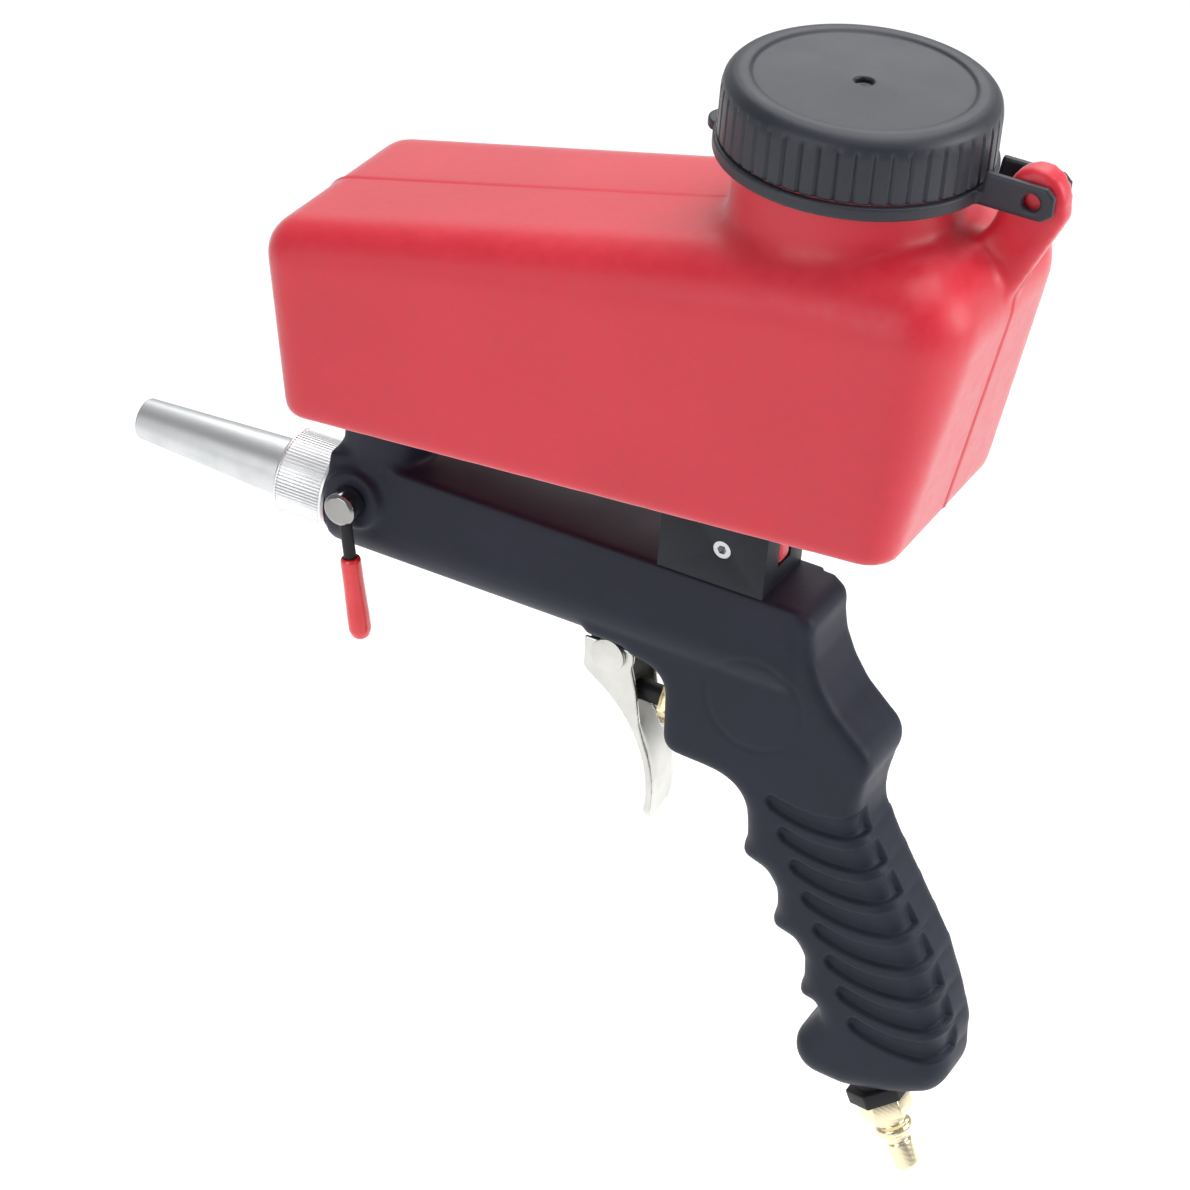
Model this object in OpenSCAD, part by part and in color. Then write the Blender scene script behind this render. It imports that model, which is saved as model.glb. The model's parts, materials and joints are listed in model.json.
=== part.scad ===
// Hand-held gravity-feed blast gun: a die-cast gun body with a trigger valve in its grip,
// a media valve and a nozzle at the front, and a wedge-shaped plastic hopper on top.
// Drawn along the barrel: X runs from the nozzle to the rear, Z up, Y = 0 is the middle plane.
// Everything is then moved so that the origin lies in the middle of the grip.

/* [Hopper] */
// Length of the hopper along its floor
hopper_len = 195; // [190:1:198]
// Width of the hopper at its shoulders
hopper_w = 84; // [80:1:86]
// Width of the hopper at its floor
hopper_floor_w = 77; // [74:1:78]
// Slope of the hopper's floor down to its outlet, in degrees
floor_slope = 4.7; // [4:0.1:5]
// Wall thickness of the hopper
hopper_wall = 2.2; // [1.8:0.1:2.6]
// Outside radius of the filling neck
neck_r = 32.4; // [32:0.1:32.5]

/* [Cap] */
// Outside radius of the ribbed cap
cap_r = 37.9; // [37.8:0.1:38.2]
// Number of grooves round the cap
cap_grooves = 48; // [36:1:60]
// Radius of the vent hole in the cap
vent_r = 2.6; // [2:0.1:3]

/* [Barrel] */
// Radius of the barrel's round underside
barrel_r = 15.2; // [15:0.1:15.5]
// Height of the flat on top of the barrel above its axis
ledge_z = 20.5; // [20:0.5:21]
// Half the width of that flat top
ledge_half_w = 13.3; // [13:0.1:13.4]
// Radius of the bore that holds the air jet
jet_bore_r = 4; // [3.9:0.05:4.05]

/* [Nozzle] */
// Distance of the nozzle's tip ahead of the barrel's datum
nozzle_tip = 66; // [55:1:80]
// Radius of the nozzle's bore
nozzle_bore_r = 3; // [2:0.25:3.5]
// Outside radius of the knurled nut
nut_r = 14; // [13.8:0.1:14.5]

/* [Grip] */
// Half the thickness of the grip
grip_half_w = 13.5; // [13:0.5:14]
// Lean of the air inlet away from the vertical, in degrees
inlet_lean = 27; // [26:0.5:28]

/* [Trigger] */
// Radius of the finger curve
finger_r = 42.3; // [42:0.1:42.8]
// Half the width of the trigger
trigger_half_w = 7.5; // [7.4:0.1:7.8]

/* [Hidden] */

$fn = 96;
eps = 0.01;
running = 0.05;

// Middle of the grip in the barrel's own frame
grip_x = 189;
grip_z = -88;

// Hopper: the floor's height at x = 0, and the blended corners of the wedge
floor_z0 = 42.5;
floor_rise = tan(floor_slope);
hopper_front_x = 4;
hopper_rear_x = hopper_front_x + hopper_len;
low_corner_r = 9;
nose_r = 11;
shoulder_r = 18;
nose_x = -4;
nose_top = 105.5;
back_x = 210;
back_top = 147;
neck_x = 159.5;
neck_top = 177.6;
neck_wall = 3.4;
outlet_r = 7;
outlet_bore_r = 5;
hinge_x = 212.7;
hinge_z = 163.6;
lug_r = 8.5;
lug_half_w = 4.2;
nub_r = 2.45;

// Mount block and the tenon under the hopper
block_x0 = 119;
block_x1 = 153;
block_half_w = 13;
slot_half_w = 4.2;
slot_z = 27;
block_screw_x = [127, 146];
block_screw_r = 1.95;
set_screw_x = 138.8;
set_screw_z = 32.4;
set_screw_r = 2.8;

// Front of the casting
body_front_x = 8;
body_rear_x = 164.5;
feed_x = 18.5;
feed_r = 2.7;
spool_z = 8.2;
spool_r = 3.9;
spool_boss_r = 9.5;
spool_boss_y = 17.2;
knob_r = 5.2;
lever_lean = 11;
lever_y = -21;

// Nozzle, nut and spigot
spigot_r = 11.6;
spigot_x = 0.1;
nut_x0 = -11.2;
nut_x1 = 7;
nut_shoulder_x = -4.2;
nozzle_r = 9.4;
nozzle_tip_r = 6.6;
flange_r = 11.4;

// Trigger valve
valve_z = -33;
valve_front_x = 124.5;
chamber_r = 7;
chamber_end_x = 166;
seat_x = 134;
stem_r = 3.25;
pivot_x = 104;
pivot_z = -19.5;
pin_r = 2;
finger_x = 77.6;
finger_z = -66.2;
finger_low = -15;
tip_z = -67.9;
finger_high = 60;
trigger_sheet = 1.8;

// Air inlet at the foot of the grip
inlet_x = 203;
inlet_z = -141;
bushing_af = 18;
plug_af = 14.3;

// ---- helpers ----

// Moves the barrel's frame to the middle of the grip
module in_hand() translate([-grip_x, 0, -grip_z]) children();

// A solid from a side outline (x, z), centred on the middle plane
module slab(half_w) rotate([90, 0, 0]) linear_extrude(2 * half_w, center = true) children();

// A solid from an end outline (y, z), running along the barrel
module along_x(x0, x1) translate([x0, 0, 0]) rotate([90, 0, 90]) linear_extrude(x1 - x0) children();

// Rods along each axis
module rod_x(x0, x1, r) translate([x0, 0, 0]) rotate([0, 90, 0]) cylinder(h = x1 - x0, r = r);
module rod_y(y0, y1, r) translate([0, y1, 0]) rotate([90, 0, 0]) cylinder(h = y1 - y0, r = r);
module rod_z(z0, z1, r) translate([0, 0, z0]) cylinder(h = z1 - z0, r = r);

// A ring of round section lying across the X axis
module o_ring_x(x, ring_r, r) translate([x, 0, 0]) rotate([0, 90, 0])
    rotate_extrude() translate([ring_r, 0]) circle(r = r, $fn = 24);

// A solid of revolution about the X axis, from (distance along, radius) points
module turned_x(points) rotate([0, 90, 0]) rotate([0, 0, 180])
    rotate_extrude() polygon([for (p = points) [p[1], p[0]]]);

// Points of an arc, in order, both ends included
function arc(cx, cz, r, a0, a1, n = 6) =
    [for (i = [0 : n]) [cx + r * cos(a0 + (a1 - a0) * i / n), cz + r * sin(a0 + (a1 - a0) * i / n)]];

function floor_z(x) = floor_z0 + floor_rise * x;

// Stands children on the sloping floor of the hopper at distance x
module on_floor(x) translate([x, 0, floor_z(x)]) rotate([0, -floor_slope, 0]) children();

// Points children down the air inlet's axis, starting at the foot of the grip
module down_inlet() translate([inlet_x, 0, inlet_z]) rotate([0, 180 - inlet_lean, 0]) children();

// Points children down the lever, starting on the spool's axis
module down_lever() translate([feed_x, lever_y, spool_z]) rotate([0, 180 - lever_lean, 0]) children();

// ---- gun body ----

// End outline of the barrel: round below, flat on top
module barrel_outline() {
    circle(r = barrel_r);
    polygon([[-barrel_r, 0], [barrel_r, 0], [ledge_half_w, ledge_z], [-ledge_half_w, ledge_z]]);
}

// One finger hollow of the grip's front edge: a long dip and a rounded tooth under it
function finger_hollow(x, z) = concat([[x, z], [x + 0.5, z - 5]], arc(x + 2.5, z - 9.5, 3, 170, 250, 3));

// Side outline of the valve housing and the grip
module grip_outline() polygon(concat(
    [[97, 0], [97, -12.5], [110, -12.5], [112.5, -14.6]],
    arc(116, -24, 9, 90, 0, 5),
    [[125.5, -38.5]],
    arc(131, -38, 5.5, 185, 265, 4),
    [[144, -45]],
    arc(142.5, -56, 11, 75, 10, 5),
    finger_hollow(154.2, -59.5),
    [[162.5, -74], [166, -78.5]],
    finger_hollow(166.5, -81),
    [[174.5, -95], [177.8, -99.5]],
    finger_hollow(178, -102.5),
    [[183.5, -115], [185, -118.5], [183, -122.5]],
    arc(188, -132, 9.5, 165, 262, 6),
    [[197, -142], [212, -138]],
    arc(215, -122.5, 13.5, 290, 375, 6),
    [[227.8, -112], [224, -101], [217.5, -86], [208, -71.5], [198.5, -57], [191, -45.5], [190, -39]],
    arc(183, -25, 9.5, -30, 60, 6),
    [[179.5, -9.5], [174.5, -2.5], [171, 5], [169.6, 12]],
    arc(164.6, 15, 5, 0, 90, 6),
    [[155, 20], [155, 0]]));

module body_solids() {
    along_x(body_front_x, body_rear_x) barrel_outline();
    slab(grip_half_w) grip_outline();
    translate([22, 0, 0]) rod_z(0, 60, 14);
    rod_x(spigot_x, body_front_x + eps, spigot_r);
    translate([feed_x, 0, spool_z]) rod_y(-spool_boss_y, spool_boss_y, spool_boss_r);
    slab(5.4) polygon([[96, -10], [96, -20], [100, -25], [106, -25], [110, -20], [110, -10]]);
}

// Rounded-end grooves that sweep round the side of the grip towards its back
module grip_grooves() for (i = [0 : 7], side = [-1, 1])
    translate([180.5 + 5 * i, side * grip_half_w, -8.5 - 9.8 * i]) rotate([90, 0, 0])
    rotate([0, 0, 244]) rotate_extrude(angle = 52) translate([40, 0]) circle(r = 1.5, $fn = 24);

module gun_body() color([0.2, 0.21, 0.25]) in_hand() difference() {
    body_solids();
    // above the hopper's gasket
    on_floor(feed_x) translate([-40, -40, -1]) cube([80, 80, 40]);
    // feed passage, funnel and outlet seat
    translate([feed_x, 0, 0]) rod_z(0, 60, feed_r);
    translate([feed_x, 0, 24]) cylinder(h = 9, r1 = feed_r, r2 = outlet_bore_r);
    translate([feed_x, 0, 0]) rod_z(33, 60, outlet_r + 0.3);
    translate([feed_x, 0, spool_z]) rod_y(-30, 30, spool_r + running);
    // jet bore
    rod_x(-1, 144, jet_bore_r);
    // trigger valve chamber, its air ways, and the thread of the packing nut
    translate([0, 0, valve_z]) rod_x(110, chamber_end_x, chamber_r);
    translate([130, 0, 0]) rod_z(valve_z, 0, 2.5);
    down_inlet() rod_z(-122, 10, 4);
    down_inlet() rod_z(-14, 10, 6.6);
    // trigger pin and screws
    translate([pivot_x, 0, pivot_z]) rod_y(-20, 20, pin_r);
    for (x = block_screw_x) translate([x, 0, 0]) rod_z(9, 30, block_screw_r + running);
    // trimmed foot, square to the air inlet
    down_inlet() translate([-30, -30, 2]) cube([60, 60, 40]);
    // shallow circle round the valve, on both sides
    for (side = [-1, 1]) translate([154, side * grip_half_w, -17]) rotate([90, 0, 0]) difference() {
        cylinder(h = 1, r = 15.8, center = true);
        cylinder(h = 2, r = 14.8, center = true);
    }
    grip_grooves();
}

// ---- hopper ----

// The wedge, blended round its corners, drawn smaller all round by the given amount
module hopper_form(less) hull() {
    low_y = hopper_floor_w / 2 - low_corner_r;
    top_y = hopper_w / 2 - shoulder_r;
    for (side = [-1, 1]) {
        for (x = [hopper_front_x + low_corner_r, hopper_rear_x - low_corner_r])
            on_floor(x) translate([0, side * low_y, less])
            cylinder(h = 1, r = low_corner_r - less, $fn = 36);
        translate([nose_x + nose_r, side * (hopper_w / 2 - 2 - nose_r), nose_top - nose_r])
            sphere(r = nose_r - less, $fn = 36);
        translate([158, side * top_y, 143.5 - shoulder_r]) sphere(r = shoulder_r - less, $fn = 36);
        translate([back_x - shoulder_r, side * top_y, back_top - shoulder_r])
            sphere(r = shoulder_r - less, $fn = 36);
    }
}

module hopper() color([0.85, 0.2, 0.25]) in_hand() difference() {
    union() {
        hopper_form(0);
        translate([neck_x, 0, 0]) rod_z(118, neck_top, neck_r);
        for (z = [168, 173]) translate([neck_x, 0, 0]) rod_z(z, z + 1.6, neck_r + 0.9);
        translate([feed_x, 0, 0]) rod_z(35, 50, outlet_r);
        // hinge lug with its two nubs
        translate([hinge_x, 0, hinge_z]) rod_y(-lug_half_w, lug_half_w, lug_r);
        slab(lug_half_w) polygon([[190, 132], [203, 128], [207, 136], [219.8, 157.5],
            [220.4, 163], [204.9, 163], [198, 148]]);
        translate([hinge_x, 0, hinge_z]) rod_y(-6, 6, nub_r);
        // tenon that the mount block grips
        translate([121, -slot_half_w + 0.1, slot_z + 0.2]) cube([32.2, 2 * slot_half_w - 0.2, 31]);
    }
    difference() {
        hopper_form(hopper_wall);
        slab(lug_half_w) polygon([[196, 128], [215, 120], [215, 150], [200, 150]]);
    }
    translate([neck_x, 0, 0]) rod_z(125, neck_top + 1, neck_r - neck_wall);
    translate([feed_x, 0, 0]) rod_z(30, 56, outlet_bore_r);
}

module hopper_gasket() color([0.12, 0.12, 0.12]) in_hand() difference() {
    on_floor(feed_x) rod_z(-1, 0, 10.5);
    translate([feed_x, 0, 0]) rod_z(30, 60, outlet_r);
}

// ---- mount block ----

module mount_block() color([0.28, 0.3, 0.33]) in_hand() difference() {
    translate([block_x0, -block_half_w, ledge_z]) cube([block_x1 - block_x0, 2 * block_half_w, 45]);
    on_floor(block_x0) translate([-10, -30, 0]) cube([80, 60, 40]);
    translate([block_x0 - 1, -slot_half_w, slot_z]) cube([50, 2 * slot_half_w, 45]);
    for (x = block_screw_x) translate([x, 0, 0]) {
        rod_z(10, 30, block_screw_r + running);
        rod_z(slot_z - 3, 30, 3.6);
    }
    translate([set_screw_x, 0, set_screw_z]) rod_y(-20, 0, set_screw_r + running);
}

module set_screw() color([0.6, 0.61, 0.62]) in_hand() translate([set_screw_x, 0, set_screw_z])
    difference() {
        rod_y(-block_half_w + 0.3, -slot_half_w, set_screw_r);
        translate([0, -block_half_w, 0]) rotate([-90, 0, 0]) cylinder(h = 3, r = 1.5, $fn = 6);
    }

module block_screws() color([0.5, 0.5, 0.52]) in_hand() for (x = block_screw_x) translate([x, 0, 0])
    difference() {
        union() {
            rod_z(10, slot_z - 2, block_screw_r);
            rod_z(slot_z - 3, slot_z - 0.1, 3.5);
        }
        translate([0, 0, slot_z - 2]) cylinder(h = 4, r = 1.7, $fn = 6);
    }

// ---- nozzle end ----

module nozzle() color([0.85, 0.86, 0.87]) in_hand() turned_x([
    [-nozzle_tip, nozzle_bore_r], [-nozzle_tip, nozzle_tip_r - 0.6], [-nozzle_tip + 0.6, nozzle_tip_r],
    [nut_x0, nozzle_r], [nut_shoulder_x + 0.3, nozzle_r], [nut_shoulder_x + 0.3, flange_r],
    [-0.9, flange_r], [-0.9, 4.6], [-12, nozzle_bore_r]]);

module nozzle_washer() color([0.1, 0.1, 0.1]) in_hand() turned_x([
    [-0.9, 5.5], [-0.9, 11], [spigot_x, 11], [spigot_x, 5.5]]);

module nozzle_nut() color([0.8, 0.81, 0.83]) in_hand() turned_x([
    [nut_x0, nozzle_r + 0.3], [nut_x0, nut_r - 0.8], [nut_x0 + 0.8, nut_r], [nut_x1 - 0.8, nut_r],
    [nut_x1, nut_r - 0.8], [nut_x1, spigot_r + 0.35], [nut_shoulder_x, spigot_r + 0.35],
    [nut_shoulder_x, nozzle_r + 0.3]]);

module air_jet() color([0.78, 0.65, 0.35]) in_hand() turned_x([
    [23, 1.25], [23, 1.9], [29, 2.8], [40, 2.8], [40, jet_bore_r - running], [46, jet_bore_r - running],
    [46, 3.1], [48, 3.1], [48, jet_bore_r - running], [58, jet_bore_r - running], [58, 2], [34, 1.25]]);

module jet_o_ring() color([0.08, 0.08, 0.08]) in_hand() o_ring_x(47, 3.6, 0.38);

// ---- media valve ----

module media_spool() color([0.8, 0.81, 0.83]) in_hand() difference() {
    translate([feed_x, 0, spool_z]) difference() {
        union() {
            rod_y(-18, 20.5, spool_r);
            rod_y(-24.2, -17.5, knob_r);
        }
        for (y = [-12.6, 11.4]) difference() {
            rod_y(y, y + 1.2, spool_r + 1);
            rod_y(y - 1, y + 2, 2.9);
        }
        difference() {
            rod_y(18, 19, spool_r + 1);
            rod_y(17, 20, 3);
        }
        rod_z(-8, 8, feed_r - 0.1);
    }
    down_lever() rod_z(1.5, 10, 1.95);
}

module lever_rod() color([0.3, 0.31, 0.34]) in_hand() down_lever() rod_z(1.8, 40, 1.9);

module lever_sleeve() color([0.9, 0.2, 0.22]) in_hand() down_lever() rotate_extrude() difference() {
    union() {
        polygon([[0, 17], [2.7, 17], [3.1, 17.6], [3.5, 38], [3.5, 41.2], [0, 41.2]]);
        intersection() {
            translate([0, 41.2]) circle(r = 3.5);
            translate([0, 35]) square([10, 12]);
        }
    }
    translate([-5, 0]) square([6.92, 40.1]);
}

module spool_o_rings() color([0.08, 0.08, 0.08]) in_hand() for (y = [-12, 12])
    translate([feed_x, y, spool_z]) rotate([90, 0, 0]) rotate_extrude()
    translate([3.42, 0]) circle(r = 0.48, $fn = 24);

module spool_clip() color([0.45, 0.46, 0.48]) in_hand() translate([feed_x, 0, spool_z]) difference() {
    rod_y(18.1, 18.9, 6.2);
    rod_y(17, 20, 3.02);
    translate([-1.8, 17, -10]) cube([3.6, 4, 10]);
}

// ---- trigger ----

// Side outline of one cheek of the trigger
module cheek_outline() polygon(concat(
    [[95.2, -12.6], [95.6, -26.6], [97.4, -28.6]],
    arc(finger_x, finger_z, finger_r + 0.7, finger_high - 3, finger_low + 1, 12),
    arc(finger_x, finger_z, finger_r + 2.4, finger_low + 1, 26, 7),
    [[115.8, -41], [114.8, -36], [113.6, -29.5]],
    arc(pivot_x, pivot_z, 8, -20, 60, 5),
    [[103, -12.6]]));

module trigger() color([0.78, 0.79, 0.8]) in_hand() difference() {
    union() {
        translate([finger_x, 0, finger_z]) rotate([90, 0, 0]) rotate([0, 0, finger_low])
            translate([0, 0, 0.1 - trigger_half_w]) rotate_extrude(angle = finger_high - finger_low)
            translate([finger_r, 0]) square([2, 2 * trigger_half_w - 0.2]);
        difference() {
            slab(trigger_half_w) cheek_outline();
            slab(trigger_half_w - trigger_sheet) square(400, center = true);
        }
    }
    translate([pivot_x, 0, pivot_z]) rod_y(-20, 20, pin_r + running);
    // clearance for the barrel above
    rod_x(80, 130, barrel_r + 2.4);
    // round end of the finger plate
    difference() {
        translate([100, -20, tip_z - 20]) cube([40, 40, 20]);
        translate([0, 0, tip_z]) rod_x(90, 150, trigger_half_w + 0.3);
    }
}

module trigger_pin() color([0.85, 0.86, 0.87]) in_hand() translate([pivot_x, 0, pivot_z]) difference() {
    union() {
        rod_y(-trigger_half_w - 1, 10, pin_r);
        rod_y(-trigger_half_w - 1.6, -trigger_half_w - 0.2, 5.5);
    }
    difference() {
        rod_y(8.2, 9, pin_r + 1);
        rod_y(8, 10, 1.5);
    }
}

module pin_clip() color([0.45, 0.46, 0.48]) in_hand() translate([pivot_x, 0, pivot_z]) difference() {
    rod_y(8.25, 8.95, 4);
    rod_y(7, 10, 1.52);
    translate([-1, 7, -10]) cube([2, 4, 10]);
}

// ---- trigger valve ----

// Front end of the stem, just behind the trigger's pad
stem_x = 110.2;

module valve_stem() color([0.12, 0.12, 0.14]) in_hand() translate([0, 0, valve_z]) turned_x([
    [stem_x, 0], [stem_x, 2.4], [stem_x + 0.8, stem_r], [128.5, stem_r], [129.5, 1.6],
    [seat_x + 6.6, 1.6], [seat_x + 6.6, 5.4], [seat_x + 9, 5.4], [seat_x + 9, 2.4], [seat_x + 12, 2.4],
    [seat_x + 12, 0]]);

module poppet_washer() color([0.1, 0.1, 0.1]) in_hand() translate([0, 0, valve_z]) turned_x([
    [seat_x + 5.1, 1.6], [seat_x + 5.1, 5.2], [seat_x + 6.6, 5.2], [seat_x + 6.6, 1.6]]);

module valve_seat() color([0.78, 0.65, 0.35]) in_hand() translate([0, 0, valve_z]) turned_x([
    [seat_x, 3], [seat_x, chamber_r - running], [seat_x + 1.4, chamber_r - running], [seat_x + 1.4, 6],
    [seat_x + 2.8, 6], [seat_x + 2.8, chamber_r - running], [seat_x + 4, chamber_r - running],
    [seat_x + 4, 4.2], [seat_x + 5, 4], [seat_x + 5, 3]]);

module seat_o_ring() color([0.08, 0.08, 0.08]) in_hand() translate([0, 0, valve_z])
    o_ring_x(seat_x + 2.1, 6.5, 0.45);

// A coil spring drawn as the turned rings that its coils fill
module valve_spring() color([0.6, 0.62, 0.64]) in_hand() translate([0, 0, valve_z]) {
    coils = 6;
    x0 = seat_x + 9.6;
    step = (chamber_end_x - 0.6 - x0) / (coils - 1);
    for (i = [0 : coils - 1]) o_ring_x(x0 + i * step, 3.9, 0.55);
    for (side = [-1, 1]) translate([0, side * 3.9, 0]) rod_x(x0, x0 + (coils - 1) * step, 0.25);
}

module packing_nut() color([0.83, 0.74, 0.5]) in_hand() translate([0, 0, valve_z]) difference() {
    union() {
        translate([valve_front_x - 3.4, 0, 0]) rotate([0, 90, 0])
            rotate([0, 0, 30]) cylinder(h = 3.4, r = 7.8, $fn = 6);
        rod_x(valve_front_x - 3.4, seat_x - 6, chamber_r - running);
    }
    rod_x(110, 140, stem_r + running);
    rod_x(seat_x - 8.2, seat_x - 6.8, 4.4);
}

module stem_o_ring() color([0.08, 0.08, 0.08]) in_hand() translate([0, 0, valve_z])
    o_ring_x(seat_x - 7.5, 3.88, 0.5);

// ---- air inlet ----

module inlet_bushing() color([0.13, 0.13, 0.14]) in_hand() down_inlet() difference() {
    union() {
        translate([0, 0, 2]) cylinder(h = 5, r = bushing_af / 2 / cos(30), $fn = 6);
        rod_z(-9, 2.5, 6.55);
    }
    rod_z(-10, 8, 4.8);
}

module air_plug() color([0.84, 0.77, 0.6]) in_hand() down_inlet() difference() {
    union() {
        rod_z(-6, 8, 4.75);
        translate([0, 0, 7]) cylinder(h = 6.5, r = plug_af / 2 / cos(30), $fn = 6);
        rod_z(13, 18, 4.5);
        rod_z(17.2, 20.8, 5.95);
        rod_z(20, 24, 3.4);
        rod_z(23, 33, 3.95);
    }
    rod_z(-7, 34, 2.6);
}

// ---- cap ----

module cap_ring() color([0.14, 0.15, 0.17]) in_hand() difference() {
    union() {
        translate([neck_x, 0, 0]) rod_z(158.6, 162.6, 38.8);
        for (side = [-1, 1]) translate([0, side * 5.7, 0]) slab(1.1)
            polygon([[190, 158.6], [216, 158.6], [219, 161], [219, 166.5], [216.8, 168.6], [199.2, 168.6],
                [198.4, 162.6], [190, 162.6]]);
        // thumb tab
        translate([neck_x - 37.5, 0, 0]) rod_z(156.4, 159.2, 6.2);
    }
    translate([neck_x, 0, 0]) rod_z(150, 170, 35);
    translate([neck_x, 0, 0]) rod_z(159.4, 161.3, 37);
    translate([neck_x, 0, 0]) rod_z(159.4, 170, 36.3);
    // slotted eyes that take the lug's nubs
    translate([hinge_x, 0, hinge_z]) rod_y(-10, 10, nub_r + running);
    // room for the lug between the ears
    translate([hinge_x - 12, -4.6, 150]) cube([30, 9.2, 30]);
}

// Profile of the cap from the axis outwards: recessed disc, round rim, skirt and snap bead
module cap_profile() difference() {
    union() {
        square([cap_r, 14.5]);
        square([33.3, 19.1]);
        translate([33.3, 14.5]) circle(r = 4.6);
        translate([0, -3.3]) square([36, 4]);
        translate([0, -3.3]) square([36.6, 1.4]);
    }
    translate([-1, 18]) square([30.7, 4]);
    translate([-1, -5]) square([35.4, 21]);
    translate([-1, -5]) square([1 + vent_r, 30]);
}

module screw_cap() color([0.26, 0.28, 0.32]) in_hand() translate([neck_x, 0, 162.9]) difference() {
    rotate_extrude() cap_profile();
    for (i = [0 : cap_grooves - 1]) rotate([0, 0, i * 360 / cap_grooves])
        translate([cap_r - 0.7, -0.5, -1]) cube([2, 1, 14.8]);
}

module cap_liner() color([0.9, 0.9, 0.88]) in_hand() translate([neck_x, 0, 0]) difference() {
    rod_z(177.9, 178.8, 33.8);
    rod_z(170, 180, vent_r);
}

gun_body();
hopper();
hopper_gasket();
mount_block();
set_screw();
block_screws();
nozzle();
nozzle_washer();
nozzle_nut();
air_jet();
jet_o_ring();
media_spool();
lever_rod();
lever_sleeve();
spool_o_rings();
spool_clip();
trigger();
trigger_pin();
pin_clip();
valve_stem();
poppet_washer();
valve_spring();
valve_seat();
seat_o_ring();
packing_nut();
stem_o_ring();
inlet_bushing();
air_plug();
cap_ring();
screw_cap();
cap_liner();
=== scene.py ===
# %% [markdown]
# # A hand-held blast gun with a hopper
# The gun is a painted casting with a trigger valve above its grip. A red blow-moulded hopper sits
# on it and feeds abrasive down past a small turning valve into the nozzle. The CAD part gives every
# place and size, and this lesson adds the rounded, moulded, knurled and painted surfaces.

# %% Load the frame
import json
import math

import bpy
import bmesh
import numpy as np
from mathutils import Matrix, Vector
from mathutils.kdtree import KDTree

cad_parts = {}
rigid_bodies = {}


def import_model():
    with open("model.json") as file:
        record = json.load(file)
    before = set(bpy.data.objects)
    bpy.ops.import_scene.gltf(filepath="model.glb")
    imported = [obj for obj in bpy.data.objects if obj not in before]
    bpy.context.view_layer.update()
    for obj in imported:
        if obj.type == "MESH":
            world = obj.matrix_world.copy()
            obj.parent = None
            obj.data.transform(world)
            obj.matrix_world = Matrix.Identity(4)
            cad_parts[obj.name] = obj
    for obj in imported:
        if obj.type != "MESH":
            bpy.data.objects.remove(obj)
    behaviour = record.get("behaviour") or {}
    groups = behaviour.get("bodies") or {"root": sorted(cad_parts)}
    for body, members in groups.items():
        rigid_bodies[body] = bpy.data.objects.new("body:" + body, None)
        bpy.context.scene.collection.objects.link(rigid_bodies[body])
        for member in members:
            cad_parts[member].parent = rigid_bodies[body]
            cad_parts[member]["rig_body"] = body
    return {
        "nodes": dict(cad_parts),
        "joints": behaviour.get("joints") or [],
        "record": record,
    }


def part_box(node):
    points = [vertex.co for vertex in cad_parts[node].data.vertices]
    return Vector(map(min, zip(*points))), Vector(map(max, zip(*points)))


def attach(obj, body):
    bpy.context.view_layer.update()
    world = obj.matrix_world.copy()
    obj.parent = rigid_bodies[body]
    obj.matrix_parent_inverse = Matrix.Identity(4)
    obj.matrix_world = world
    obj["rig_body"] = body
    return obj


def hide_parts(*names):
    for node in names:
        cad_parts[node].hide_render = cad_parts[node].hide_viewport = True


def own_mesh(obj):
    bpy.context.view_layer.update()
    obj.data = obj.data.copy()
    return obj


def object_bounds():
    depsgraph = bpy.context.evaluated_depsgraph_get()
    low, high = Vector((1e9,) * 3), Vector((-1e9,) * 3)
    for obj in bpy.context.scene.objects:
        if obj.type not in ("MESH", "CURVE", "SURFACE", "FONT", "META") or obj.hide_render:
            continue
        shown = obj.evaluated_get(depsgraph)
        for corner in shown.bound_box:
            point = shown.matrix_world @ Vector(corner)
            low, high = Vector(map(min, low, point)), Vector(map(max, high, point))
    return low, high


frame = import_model()
cad_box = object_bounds()
MM = 0.001
joints = {j["name"]: j for j in frame["joints"]}
barrel = Vector(joints["nut_spin"]["pos_m"])
print("nodes", len(frame["nodes"]), "barrel axis starts at", tuple(barrel))

# %% [markdown]
# The gun was drawn along its barrel, so places are easiest to say in millimetres from the front of
# the barrel: x to the rear, z up. The nozzle nut turns on that axis, so its joint says where it is.

# %% Places along the barrel
def at(x, y, z):
    return barrel + Vector((x, y, z)) * MM


def off_barrel(points):
    """Places in millimetres from the barrel's front, from places in metres."""
    return (points - np.array(barrel)) / MM


def let_go():
    if bpy.context.mode != "OBJECT":
        bpy.ops.object.mode_set(mode="OBJECT")
    bpy.ops.object.select_all(action="DESELECT")


def pick(piece):
    let_go()
    piece.select_set(True)
    bpy.context.view_layer.objects.active = piece


def name_and_place(name):
    """Names the new primitive and puts its place into its mesh."""
    piece = bpy.context.object
    piece.name = name
    piece.data.name = name
    pick(piece)
    bpy.ops.object.transform_apply(location=True, rotation=True, scale=True)
    return piece


def size_of(piece):
    print(piece.name, "has", len(piece.data.polygons), "faces")
    return piece


# %% [markdown]
# Several tools are used again and again: putting a modifier on and applying it, reading and writing
# all the points of a mesh at once, and relaxing points towards their neighbours, which is what
# sanding a pattern before casting does. A weight for each point says where it may be sanded.

# %% Shared tools
def apply_modifier(piece, kind, **settings):
    pick(piece)
    modifier = piece.modifiers.new(kind.title(), kind)
    for key, value in settings.items():
        setattr(modifier, key, value)
    bpy.ops.object.modifier_apply(modifier=modifier.name)
    return piece


def points_of(piece):
    places = np.empty(len(piece.data.vertices) * 3)
    piece.data.vertices.foreach_get("co", places)
    return places.reshape(-1, 3)


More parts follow.
